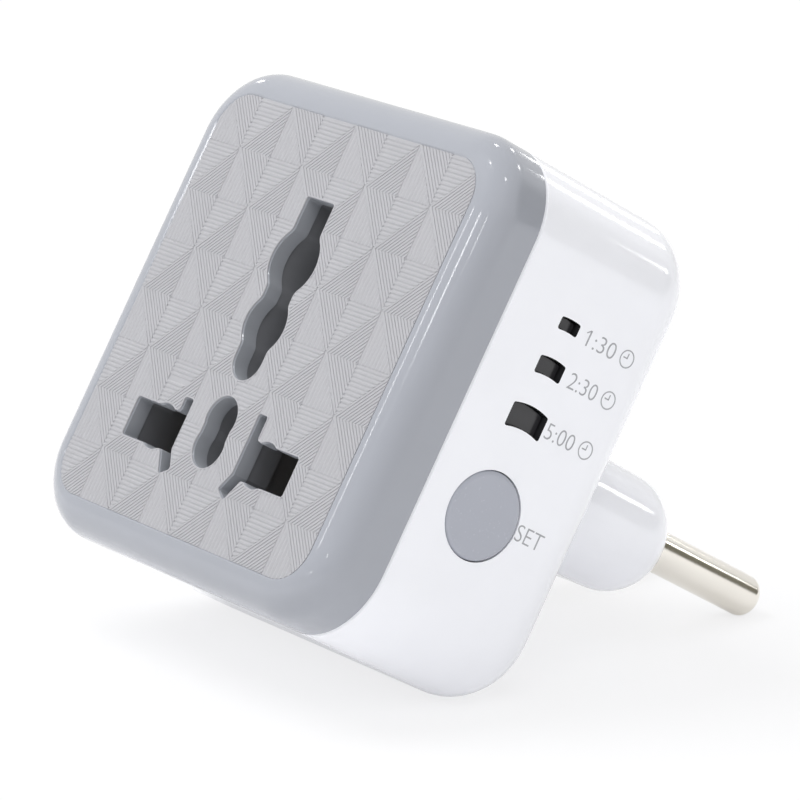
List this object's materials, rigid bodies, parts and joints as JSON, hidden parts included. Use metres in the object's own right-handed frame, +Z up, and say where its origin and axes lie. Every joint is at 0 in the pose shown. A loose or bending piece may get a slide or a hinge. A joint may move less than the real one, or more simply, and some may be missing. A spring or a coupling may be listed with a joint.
{
  "type": "plug-in surge protector with timer",
  "caption": "Plug-in adaptor block with a universal socket in its front, a round-pin plug at its back, and a push button with lit timer windows on one side.",
  "frame": {"origin": "centre of the plug boss's flat end face, midway between the two pins", "axes": "+Y along the pins into the wall outlet, +Z up, +X to the right seen from the front; the button is on the +X side"},
  "size_m": [0.054, 0.0708, 0.0552],
  "materials": {
    "cover_grey": "gloss rim, satin hatched field",
    "button_grey": "satin gloss",
    "housing_white": "gloss",
    "carrier_grey": "fine matte",
    "pin_nickel": "nickel plate, turned",
    "inner_black": "moulded",
    "contact_brass": "stamped",
    "screw_steel": "zinc plated",
    "lead_brown": "wire insulation",
    "lead_blue": "wire insulation",
    "board_green": "solder mask",
    "relay_blue": "moulded",
    "capacitor_yellow": "moulded",
    "can_black": "shrink sleeve",
    "varistor_blue": "dipped coat",
    "diode_glass": "glass body",
    "resistor_tan": "lacquer",
    "lens_smoked": "dark translucent",
    "led_white": "moulded"
  },
  "bodies": {
    "housing": {"front_cover": "cover_grey", "rear_housing": "housing_white", "contact_carrier": "carrier_grey", "plug_pin_live": "pin_nickel", "plug_pin_neutral": "pin_nickel", "housing_screws": "screw_steel", "pin_retainer": "inner_black", "retainer_screws": "screw_steel", "live_lead": "lead_brown", "neutral_lead": "lead_blue", "live_contact": "contact_brass", "neutral_contact": "contact_brass", "power_board": "board_green", "board_screws": "screw_steel", "relay": "relay_blue", "dropper_capacitor": "capacitor_yellow", "bridge_rectifier": "inner_black", "smoothing_capacitor": "can_black", "fuse": "inner_black", "varistor": "varistor_blue", "zener_diode": "diode_glass", "bleeder_resistor": "resistor_tan", "relay_transistor": "inner_black", "timer_board": "board_green", "timer_chip": "inner_black", "led_resistors": "inner_black", "tact_switch_body": "inner_black", "indicator_led_top": "led_white", "indicator_led_middle": "led_white", "indicator_led_bottom": "led_white", "indicator_lens": "lens_smoked"},
    "button": {"set_button": "button_grey"},
    "plunger": {"tact_switch_plunger": "inner_black"}
  },
  "joints": [
    {"name": "button_press", "type": "slide", "parent": "housing", "child": "button", "axis": [-1, 0, 0], "range_m": [0, 0.0005], "stiffness_N_per_m": 3000, "springref_m": -0.0002},
    {"name": "plunger_press", "type": "slide", "parent": "housing", "child": "plunger", "axis": [-1, 0, 0], "range_m": [0, 0.0004]}
  ],
  "couplings": [
    {"joint": "plunger_press", "follows": "button_press", "ratio": 0.6}
  ]
}
